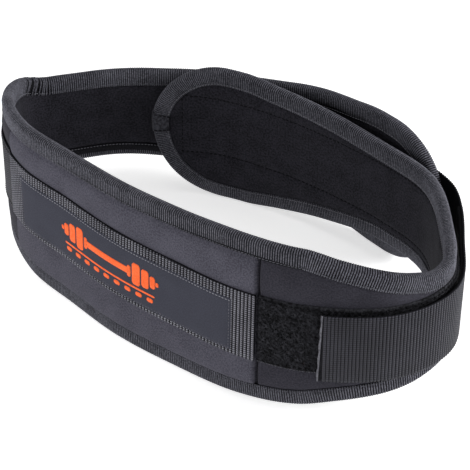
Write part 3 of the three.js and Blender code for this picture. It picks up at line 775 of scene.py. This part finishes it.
tape_ribs = row_piece("tape_ribs", [outline_line(0.0, 0.0, 1)], rib, RIB_PITCH, grosgrain_rib)
TAPE_SEAM = 10.8
outer_seam = outline_line(TAPE_SEAM, tape_outer_face + RIB_HEIGHT, 1)
tape_stitches = row_piece("tape_stitches", [outer_seam], fine_stitch, FINE_PITCH, tape_thread)
inner_seam = outline_line(TAPE_SEAM, -tape_inner_face - RIB_HEIGHT - 0.1, -1)
inner_tape_stitches = row_piece("inner_tape_stitches", [inner_seam], fine_stitch, FINE_PITCH, lining_thread)

# The tape's two ends meet at the inner end of the band, under a short second layer with a bar of stitches at
# each side
JOINT_LOW, JOINT_HIGH = -8.0, 9.0
on_joint = (outline[:, 0] < inner_shoulder) & (outline[:, 1] > JOINT_LOW) & (outline[:, 1] < JOINT_HIGH)
joint_at = np.flatnonzero(on_joint)
over_out, over_depth = folded_section(1.1, 9)
under_out, under_depth = folded_section(0.2, 9)
joint_out = np.concatenate([over_out, under_out[::-1]])
joint_depth = np.concatenate([over_depth, under_depth[::-1]])
tape_joint = swept_piece("tape_joint", tape_points(joint_at, joint_out, joint_depth), False, grosgrain_end)


def across_tape(at, out, sign):
    """A short line across the tape, from near the rim to its free edge."""
    depth = np.linspace(2.0, TAPE_WIDTH - 0.6, 12)
    place = outline[at] + outline_inward[at] * depth[:, None]
    spots = band_point(place[:, 0], out, place[:, 1])
    facing = band_point(place[:, 0], out + 1.0, place[:, 1]) - spots
    return spots, facing * sign, False


joint_stitches = row_piece("joint_stitches", [
    across_tape(at, out, sign) for at in (joint_at[1], joint_at[-2])
    for out, sign in ((tape_outer_face + 1.2, 1), (-tape_inner_face - 1.2, -1))
], stitch, 2.5, dark_thread)

# %% [markdown]
# ## The panel on the back
# A lighter piece of the same knit covers the back between two upright seams, where its edge is turned under.
# It follows the foam's swell, so it uses the same face function and only adds its own thickness, which runs
# out under the tape.

# %% Back panel
SEAM_FOLD = 1.6


def panel_face(length, height, distance):
    under_tape = smooth_step((distance - 10.5) / 3.0)
    into = np.clip((PANEL_LENGTH / 2 - np.abs(length)) / SEAM_FOLD, 0, 1)
    fold = np.sqrt(np.clip(1 - (1 - into) ** 2, 0, 1))
    return outer_face(length, height, distance) + 0.1 + (PANEL + 0.1) * under_tape * fold


def strip_grid(start, end, step, low, high, rows):
    lengths = np.linspace(start, end, max(2, int(abs(end - start) / step)))[:, None]
    low, high = (np.broadcast_to(v, lengths.shape) for v in (low(lengths), high(lengths)))
    heights = low + (high - low) * np.linspace(0, 1, rows)
    lengths = np.broadcast_to(lengths, heights.shape)
    return lengths, heights, edge_distance(lengths, heights)


length, height, distance = strip_grid(
    -PANEL_LENGTH / 2, PANEL_LENGTH / 2, 0.9,
    lambda at: 9.0 - drop_at(at), lambda at: rise_at(at) - 9.0, 56)
back_panel = layer_piece(
    "back_panel_knit",
    band_point(length, panel_face(length, height, distance), height),
    band_point(length, outer_face(length, height, distance) - 0.5, height),
    panel_knit, np.stack([length, height], -1))
print("panel", len(back_panel.data.polygons), "faces")

# %% [markdown]
# ## Webbing across the back
# The webbing is a flat strip under close ribs, sewn down at both ends. Its ribs run straight across, so one
# bead as long as the webbing is wide does for all of them, and the row tree sets one every 2.6 mm. The beads
# lean with the band, because the line that carries them holds the slanted outward direction.

# %% Back webbing and its ribs
WEBBING_RIB_PITCH = 2.6
webbing_face = webbing_seat + WEBBING - 0.4  # The ground lies lower than the ribs on it


def strip_layer(name, lengths, seat, face, width, finish, rise=0.0):
    """A strip on the band between two faces, with soft edges. rise: the height of its middle."""
    share = np.linspace(-1, 1, 7)
    length, height = np.meshgrid(lengths, width / 2 * np.sign(share) * np.abs(share) ** 0.6, indexing="ij")
    height = height + np.broadcast_to(rise, lengths.shape)[:, None]
    thin = 0.3 * np.clip((np.abs(share) - 0.9) / 0.1, 0, 1)
    front = band_point(length, face - thin, height)
    return layer_piece(name, front, band_point(length, seat, height), finish)


def bar(name, width, height, length):
    """A rib: a low bead of yarn across the cloth."""
    section = [(-0.5, -0.25), (-0.32, 0.75), (0.0, 1.0), (0.32, 0.75), (0.5, -0.25)]
    rings = [
        [(x * width * size, y * length / 2, z * height * size) for x, z in section]
        for y, size in ((-1, 0.6), (-0.97, 1.0), (0.97, 1.0), (1, 0.6))
    ]
    return small_item(name, rings)


def facing_out(length):
    """Outward from the band's slanted face."""
    length = np.asarray(length, float)
    out = band_point(length, 1.0, 0.0) - band_point(length, 0.0, 0.0)
    out[..., 2] = -slant_at(length)
    return out


def band_line(start, end, low, high, outward, sign=1, rise=None):
    """A straight line on the flat band, bent round the path. outward: a number or a function of the place.
    rise: a function of length by which the heights are raised."""
    steps = int(max(abs(end - start), abs(high - low))) + 2
    length, height = np.linspace(start, end, steps), np.linspace(low, high, steps)
    out = outward(length, height) if callable(outward) else outward
    lifted = height + rise(length) if rise else height
    return band_point(length, out, lifted), facing_out(length) * sign, False


webbing_lengths = np.arange(-PANEL_LENGTH / 2, PANEL_LENGTH / 2 + 0.1, 2.0)
# The webbing's ground has the darker dye: painted shade between its ribs
back_webbing = strip_layer("back_webbing_cloth", webbing_lengths, webbing_seat - 0.5, webbing_face,
                           WEBBING_WIDTH, webbing_ground_painted_shade, climb_at(webbing_lengths))
webbing_rib = bar("webbing_rib", 1.9, 0.55, WEBBING_WIDTH)
webbing_middle = band_line(1 - PANEL_LENGTH / 2, PANEL_LENGTH / 2 - 1, 0, 0, webbing_face, rise=climb_at)
webbing_ribs = row_piece("back_webbing_ribs", [webbing_middle], webbing_rib, WEBBING_RIB_PITCH, webbing_yarn)

# %% [markdown]
# ## The patch and its print
# A close, smooth cloth patch is sewn on the webbing all round, a little above the webbing's lower edge. Its
# border is turned under, so it is thicker there, and the stitches pull it down beside the turn. The print is
# a barbell sign over a row of short bars. It is a thin layer of ink on the patch's own face, so it bends
# with the patch.

# %% Patch and print
PATCH_LOW = PATCH_ABOVE_LOWER_EDGE - WEBBING_WIDTH / 2
PATCH_TOP = PATCH_LOW + PATCH_HEIGHT
PATCH_SEAM = 1.5
patch_seat_soft = webbing_face + 0.35


def patch_face(length, up):
    """Outward place of the patch's face. up is counted from the webbing's middle line."""
    beside = np.minimum(np.minimum(length + PATCH_RIGHT, PATCH_LEFT - length),
                        np.minimum(up - PATCH_LOW, PATCH_TOP - up))
    turned = PATCH * np.sqrt(np.clip(beside / 0.9, 0, 1))
    pulled = 0.45 * np.exp(-((beside - PATCH_SEAM) / 0.7) ** 2)
    wave = 0.12 * unevenness(length * 1.2 + 30, up) * smooth_step(beside / 6)
    return patch_seat_soft + turned - pulled + 0.25 * smooth_step((beside - 3) / 5) + wave


def patch_point(length, up, lift=0.0):
    return band_point(length, patch_face(length, up) + lift, up + climb_at(length))


def patch_line(start, end, low, high):
    return band_line(start, end, low, high, lambda length, up: patch_face(length, up) + 0.1, rise=climb_at)


length, up = np.meshgrid(
    np.linspace(-PATCH_RIGHT, PATCH_LEFT, 240), np.linspace(PATCH_LOW, PATCH_TOP, 72), indexing="ij")
patch_back = band_point(length, patch_seat_soft - 0.3, up + climb_at(length))
label_patch = layer_piece(
    "label_patch_cloth", patch_point(length, up), patch_back, patch_cloth, np.stack([length, up], -1))

right, left = PATCH_SEAM - PATCH_RIGHT, PATCH_LEFT - PATCH_SEAM
top, low = PATCH_TOP - PATCH_SEAM, PATCH_LOW + PATCH_SEAM
patch_stitches = row_piece(
    "patch_stitches", [patch_line(right, left, top, top)], fine_stitch, FINE_PITCH, light_thread)
patch_sides = [(right, left, low, low), (right, right, low, top), (left, left, low, top)]
patch_side_stitches = row_piece(
    "patch_side_stitches", [patch_line(*side) for side in patch_sides], fine_stitch, FINE_PITCH, tape_thread)

# The print: middle, half width and half height of each block, seen from outside
PRINT_MIDDLE, PRINT_LEVEL = 6.5, -2.0
INK = 0.14
BAR_AT = 3.5
BARBELL = [(0, BAR_AT, 22, 2.4), (0, -7.2, 42, 0.7)]
for side in (-1, 1):
    BARBELL += [
        (20.3 * side, BAR_AT, 1.5, 4.4), (26.4 * side, BAR_AT, 3.4, 8.4), (34.0 * side, BAR_AT, 3.0, 7.0),
        (40.2 * side, BAR_AT, 2.2, 4.6), (44.0 * side, BAR_AT, 1.2, 1.8),
    ]
SHORT_BARS = [(-38 + 9.5 * i, -11.2, 2.6, 1.6) for i in range(9)]


def ink_piece(name, blocks):
    """Each block as columns of ink a millimetre wide, so that it bends with the patch."""
    points, faces = [], []
    for across, up, half_width, half_height in blocks:
        columns, rows = max(3, int(half_width * 2) + 1), max(3, int(half_height * 2 / 1.5) + 1)
        x = np.linspace(-half_width, half_width, columns)
        corner = min(half_width, half_height) * 0.5
        short = np.clip(np.abs(x) - half_width + corner, 0, corner)
        tall = half_height - corner + np.sqrt(corner**2 - short**2)
        length = PRINT_MIDDLE + across + np.repeat(x[:, None], rows, 1)
        height = PRINT_LEVEL + up + tall[:, None] * np.linspace(-1, 1, rows)
        faces += sheet_faces(columns, rows, len(points))
        for lift in (INK, -INK):
            points += patch_point(length, height, lift).reshape(-1, 3).tolist()
    return finished(name, points, faces, orange_ink)


patch_print = ink_piece("patch_print", BARBELL + SHORT_BARS)
print("patch", len(label_patch.data.polygons), "faces, print", len(patch_print.data.polygons))

# %% [markdown]
# ## The loop strip
# The soft half of the fastener is a knit tape with a pile of fine nylon loops. A bump alone would look like
# sandpaper, so the stretches that show get a real pile: small arches of yarn, scattered with a fixed seed
# and turned at random. Under the strap the plain base is enough.

# %% Loop strip and its pile
LOOP_BASE = 1.1
loop_start = LOOP_STRIP_END_MARGIN - INNER_REACH
loop_end = -PANEL_LENGTH / 2 - 0.5
loop_lengths = np.arange(loop_start, loop_end, 2.0)
loop_strip = strip_layer("loop_strip_base", loop_lengths, foam_face - 0.3, outer_seat + LOOP_BASE,
                         LOOP_STRIP_WIDTH, loop_pile)


def arch(name, span, rise, thick):
    """One loop of pile: a thin yarn that stands up from the cloth and comes down again."""
    rings = []
    for turn in np.linspace(0, math.pi, 6):
        x, z = -span * math.cos(turn), rise * math.sin(turn) ** 0.8
        nx, nz = -math.cos(turn), math.sin(turn)
        rings.append([
            (x + nx * thick * math.cos(a), thick * math.sin(a), z + nz * thick * math.cos(a))
            for a in (0, 2 * math.pi / 3, 4 * math.pi / 3)
        ])
    return small_item(name, rings)


def pile_tree():
    tree = tree_with("pile on a cloth", [
        ("Cloth", "Geometry"), ("Density", "Float"), ("Item", "Object"), ("Finish", "Material"),
        ("Seed", "Int")])
    start = add_node(tree, "NodeGroupInput")
    spots = add_node(tree, "GeometryNodeDistributePointsOnFaces", inputs={
        "Mesh": start.outputs["Cloth"], "Density": start.outputs["Density"], "Seed": start.outputs["Seed"]})
    spin = add_node(tree, "FunctionNodeRandomValue", {"data_type": "FLOAT_VECTOR"}, {
        0: (-0.5, -0.5, 0.0), 1: (0.5, 0.5, 6.283), "Seed": start.outputs["Seed"]})
    turned = add_node(tree, "FunctionNodeEulerToRotation", inputs={0: spin.outputs[0]})
    turn = add_node(tree, "FunctionNodeRotateRotation", {"rotation_space": "LOCAL"},
                    {0: spots.outputs["Rotation"], 1: turned.outputs[0]})
    size = add_node(tree, "FunctionNodeRandomValue", {"data_type": "FLOAT"}, {
        2: 0.6, 3: 1.25, "Seed": start.outputs["Seed"]})
    item = add_node(tree, "GeometryNodeObjectInfo", inputs={"Object": start.outputs["Item"]})
    shapes = add_node(tree, "GeometryNodeInstanceOnPoints", inputs={
        "Points": spots.outputs["Points"], "Instance": item.outputs["Geometry"],
        "Rotation": turn.outputs[0], "Scale": size.outputs[1]})
    finish_tree(tree, shapes.outputs[0], start.outputs["Finish"])
    return tree


# The pile beside the strap's end, and the narrow line of it that shows above the strap up to the right hip
PILE_HALF, PILE_ABOVE_STRAP = 24.6, 18.5
PILE_END, PILE_FAR_END = -STRAP_FREE_END - 6, -335
PILE_DENSITY = 1.1e6
pile_on = pile_tree()
loop_item = arch("pile_loop", 0.45, 0.95, 0.14)


def pile_piece(name, start, end, low, columns, rows, seed):
    lengths, heights = np.linspace(start, end, columns), np.linspace(low, PILE_HALF, rows)
    length, height = np.meshgrid(lengths, heights, indexing="ij")
    points = band_point(length, outer_seat + LOOP_BASE - 0.1, height).reshape(-1, 3)
    cloth_here = finished("bare", points, grid_faces(columns, rows, 0, True))
    values = {"Density": PILE_DENSITY, "Item": loop_item, "Finish": loop_pile, "Seed": seed}
    return grown(cloth_here, name, pile_on, values)


bare_pile = pile_piece("loop_pile_bare", PILE_END, loop_end, -PILE_HALF, 30, 20, 4)
edge_pile = pile_piece("loop_pile_above_strap", PILE_FAR_END, PILE_END, PILE_ABOVE_STRAP, 80, 4, 9)

# %% [markdown]
# ## The strap
# The strap is sewn to the side at the left seam, lies on the band as far as its outer end, climbs over the
# tape there and comes down on the loop strip on the right. It is ribbed webbing as on the back, and made the
# same way: a thin strip along its own line and a row of beads across it.

# %% The strap's line
tip_along = float(along_loop(OUTER_REACH))
free_length = LOOP_LENGTH - STRAP_FREE_END - tip_along
strap_seat_on_strip = loop_strip_face + GAP + HOOK + GAP
over_tape_seat = max(outer_seat, tape_outer_face + GAP)
strap_seat_at_tip = float(lap_offset(tip_along)) + over_tape_seat


def strap_frame(along):
    """Point and outward direction in plan, offset of the inner face, slant and height of the middle."""
    spot, out = loop_frame(along)
    length = np.interp(along, outer_along, outer_length)
    climb = smooth_step((length - OUTER_REACH + TAPE_CROSSING) / TAPE_CROSSING)
    sewn = lap_offset(along) + outer_seat + climb * (over_tape_seat - outer_seat)
    past = along - tip_along
    lift = look_up(STRAP_LIFT, past / free_length)
    inner_slant = slant_at(along - LOOP_LENGTH)
    tip_slant = slant_at(np.full(np.shape(along), OUTER_REACH))
    free = strap_seat_on_strip + (strap_seat_at_tip - strap_seat_on_strip) * lift
    offset = np.where(past > 0, free, sewn)
    slant = np.where(past > 0, inner_slant + (tip_slant - inner_slant) * lift, slant_at(length))
    middle = np.where(past > 0, -STRAP_SLIP * smooth_step(past / STRAP_SLIP_LENGTH), climb_at(length))
    return spot, out, offset, slant, middle


def strap_point(along, outward, height):
    along, outward, height = np.broadcast_arrays(*(np.asarray(v, float) for v in (along, outward, height)))
    spot, out, offset, slant, middle = strap_frame(along)
    height = height + middle
    reach = offset + outward + slant * height
    return np.concatenate([spot + out * reach[..., None], height[..., None]], -1)


def strap_facing(along):
    spot, out, offset, slant, middle = strap_frame(np.asarray(along, float))
    return np.concatenate([out, -slant[..., None]], -1)


strap_start = PANEL_LENGTH / 2 + 1.5
strap_end = LOOP_LENGTH - STRAP_FREE_END
strap_along = np.linspace(strap_start, strap_end, 420)
strap_middle = strap_point(strap_along, 0, 0)
strap_travel = np.concatenate([[0], np.cumsum(np.linalg.norm(np.diff(strap_middle, axis=0), axis=1))])
print("strap:", round(float(strap_travel[-1])), "mm long")

# %% Strap, its ribs and hook tape
CUT_SKEW = 0.035
STRAP_EDGE = np.array([-1, -0.97, -0.85, -0.4, 0, 0.4, 0.85, 0.97, 1.0]) * STRAP_WIDTH / 2


def skewed(along, height):
    """The free end is cut a little askew, so the last stretch of the strap runs out with its height."""
    late = smooth_step((along - strap_end + 30) / 30)
    return along - late * (height * CUT_SKEW + 0.6)


def strap_sheet(name, along, height, face, seat, finish):
    return layer_piece(name, strap_point(along, face, height), strap_point(along, seat, height), finish)


STRAP_GROUND = STRAP - 0.35  # The cloth between the ribs
along, height = np.meshgrid(strap_along, STRAP_EDGE, indexing="ij")
thin = 0.25 * (np.abs(height) > 24.5)
# The strap's ground has the webbing's darker dye: painted shade between its ribs
closure_strap = strap_sheet(
    "closure_strap_cloth", skewed(along, height), height, STRAP_GROUND - thin, thin, webbing_ground_painted_shade)


def strap_line(start, end, height, outward):
    along = np.linspace(start, end, int(end - start) + 2)
    return strap_point(skewed(along, height), outward, height), strap_facing(along), False


STRAP_RIB_PITCH = 2.3
strap_rib = bar("strap_rib", 2.15, 0.42, STRAP_WIDTH)
strap_ribs = row_piece("strap_ribs", [strap_line(strap_start + 1, strap_end - 3.5, 0, STRAP_GROUND)],
                       strap_rib, STRAP_RIB_PITCH, strap_yarn)

# The free end was cut hot: a narrow melted edge with a slightly wavy outline
FUSED = 1.1
fused_along, fused_height = np.linspace(strap_end - FUSED, strap_end, 3), np.linspace(-25, 25, 21)
along, height = np.meshgrid(fused_along, fused_height, indexing="ij")
along = skewed(along, height) + 0.25 * np.sin(height / 1.7) * (along > strap_end - 0.1)
fused_end = strap_sheet("strap_fused_end", along, height, STRAP + 0.05, 0.2, fused_nylon)

hook_along = np.linspace(tip_along + HOOK_START, strap_end - 3, 220)
along, height = np.meshgrid(hook_along, np.linspace(-HOOK_WIDTH / 2, HOOK_WIDTH / 2, 5), indexing="ij")
hook_tape = strap_sheet("hook_tape_strip", along, height, -0.05, -GAP - HOOK, hook_plastic)

# %% [markdown]
# ## Seams that show
# Stitches tell which piece is sewn to which. They run down both upright seams of the back, along the loop
# strip, along both edges of the strap where it is sewn to the band, and as a long rectangle on the lining
# where the loop strip is sewn through. They are rows of the two beads of thread made above. Down the back's
# seams the thread is near black and set close, partly as painted shade in the seams' grooves.

# %% Stitches
def on_outer(length, height):
    return outer_face(length, height, edge_distance(length, height)) + 0.1


def on_inner(length, height):
    return inner_face(length, height, edge_distance(length, height)) - 0.2


lining_stitches = row_piece("lining_stitches", [
    band_line(LINE_START, LINE_STOP, LINE_HALF, LINE_HALF, on_inner, -1),
    band_line(LINE_START, LINE_STOP, -LINE_HALF, -LINE_HALF, on_inner, -1),
    band_line(LINE_START, LINE_START, -LINE_HALF, LINE_HALF, on_inner, -1),
], stitch, STITCH_PITCH, dark_thread)
strap_stitches = row_piece("strap_stitches", [
    strap_line(strap_start + 3, tip_along - 4, height, STRAP + 0.15) for height in (22.5, -22.5)
], stitch, STITCH_PITCH, dark_thread)

# Near-black thread set close down both upright seams: partly real stitching, partly painted shade darkening
# each seam's groove
seam_lines = []
for seam in (-SEAM_AT, SEAM_AT):
    under, over = (float(climb_at(seam)) + side * WEBBING_WIDTH / 2 for side in (-1, 1))
    lowest = TAPE_WIDTH + 0.5 - float(drop_at(PANEL_LENGTH / 2))
    highest = float(rise_at(PANEL_LENGTH / 2)) - TAPE_WIDTH - 0.5
    for start, end in ((lowest, under), (over, highest)):
        seam_lines.append(band_line(seam, seam, start, end, on_outer))
seam_shade_stitches = row_piece("panel_seam_stitches", seam_lines, fine_stitch, 1.7, dark_thread)


def beside_strip(height, outward):
    return band_line(loop_start + 2, loop_end - 2, height, height, outer_seat + LOOP_BASE + outward)


loop_stitches = row_piece(
    "loop_strip_stitches", [beside_strip(height, 0.5) for height in (23.2, -23.2)],
    stitch, STITCH_PITCH, dark_thread)
# The strip's lower edge is caught by a lighter thread
loop_edge = row_piece("loop_strip_edge", [beside_strip(-24.9, -0.1)], fine_stitch, 2.0, tape_thread)

# %% [markdown]
# ## What each piece stands for
# Every soft piece takes the place of its solid in the frame and rides on the belt's one body.

# %% Telling the frame
# Slot, nodes of the frame, and the pieces of that slot. The nodes are hidden and every piece rides on the
# belt's body
SLOTS = [
    ("band_knit", ["padded_band"], [padded_band]),
    ("brushed_lining", ["inner_lining"], [inner_lining, lining_stitches]),
    ("binding_tape", ["binding_upper", "binding_lower", "binding_inner_end", "binding_outer_end"],
     [edge_tape, tape_ribs, tape_stitches, inner_tape_stitches, tape_joint, joint_stitches]),
    ("panel_knit", ["back_panel"], [back_panel, seam_shade_stitches]),
    ("back_webbing", ["back_webbing"], [back_webbing, webbing_ribs]),
    ("patch_cloth", ["label_patch"], [label_patch, patch_stitches, patch_side_stitches, patch_print]),
    ("loop_pile", ["loop_strip"], [loop_strip, bare_pile, edge_pile, loop_stitches, loop_edge]),
    ("strap_webbing", ["closure_strap"], [closure_strap, strap_ribs, strap_stitches, fused_end]),
    ("hook_tape", ["hook_tape"], [hook_tape]),
]
for slot_name, nodes, group in SLOTS:
    for piece in group:
        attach(piece, "root")
    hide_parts(*nodes)
for item in (rib, stitch, fine_stitch, webbing_rib, strap_rib, loop_item):
    bpy.data.objects.remove(item)
pieces = [piece for slot_name, nodes, group in SLOTS for piece in group]
triangles = sum(len(face.vertices) - 2 for piece in pieces for face in piece.data.polygons)
print("pieces:", len(pieces), "triangles:", triangles)

# %% [markdown]
# ## Floor, light and camera
# The belt stands on a white table that glows faintly, as goods are often photographed, so the ground comes
# out white and light reaches the lower edges. A large light hangs overhead, a weak one stands low at the
# camera's left and a stronger one behind at the right, where the cloth of the bend is brightest. The camera
# looks down at 35 degrees from the belt's back right. The standard view keeps a dye's hex colour as written.

# %% Floor and light
floor_mesh = bpy.data.meshes.new("floor")
floor_mesh.from_pydata([(-6, -6, 0), (6, -6, 0), (6, 6, 0), (-6, 6, 0)], [], [(0, 1, 2, 3)])
floor = placed("floor", floor_mesh)
pale_floor, tree = new_material("pale floor")
shader = add_node(tree, "ShaderNodeBsdfPrincipled", inputs={
    "Base Color": linear("#fafafa"), "Roughness": 0.9,
    "Emission Color": linear("#ffffff"), "Emission Strength": 0.6})
add_node(tree, "ShaderNodeOutputMaterial", inputs={"Surface": shader.outputs[0]})
floor.data.materials.append(pale_floor)

world = bpy.data.worlds.new("pale room")
world.use_nodes = True
background = world.node_tree.nodes["Background"]
background.inputs["Color"].default_value = (1, 1, 1, 1)
background.inputs["Strength"].default_value = 0.25
bpy.context.scene.world = world


def soft_light(name, where, target, size, power):
    lamp = bpy.data.lights.new(name, "AREA")
    lamp.size = size
    lamp.energy = power
    light = placed(name, lamp)
    light.location = where
    light.rotation_euler = (Vector(target) - Vector(where)).to_track_quat("-Z", "Y").to_euler()


# Each light's name, place, target, size in metres and power in watts
soft_light("ceiling", (0, 0, 2.0), (0, 0, 0), 1.6, 7)
soft_light("left", (-0.45, -0.9, 0.5), (0, -0.08, 0.06), 0.4, 5)
soft_light("right", (0.95, 0.6, 0.4), (0.12, 0, 0.06), 0.4, 13)
bpy.context.scene.view_settings.view_transform = "Standard"

# %% Camera
# Metres away, degrees up, degrees round from the back, and the point aimed at, in millimetres on the path
CAMERA_DISTANCE, CAMERA_HEIGHT, CAMERA_TURN = 1.25487, 35.0, 44.035
CAMERA_AIM = (25.411, -18.841, 0)
LENS, SENSOR = 143.3, 36.0
look_at = Vector((path_to_frame + CAMERA_AIM) * METRE)
rise, turn = math.radians(CAMERA_HEIGHT), math.radians(CAMERA_TURN)
towards = Vector((math.sin(turn) * math.cos(rise), -math.cos(turn) * math.cos(rise), math.sin(rise)))
camera = placed("camera", bpy.data.cameras.new("camera"))
camera.data.lens = LENS
camera.data.sensor_width = SENSOR
camera.location = look_at + towards * CAMERA_DISTANCE
camera.rotation_euler = (-towards).to_track_quat("-Z", "Y").to_euler()
bpy.context.scene.camera = camera
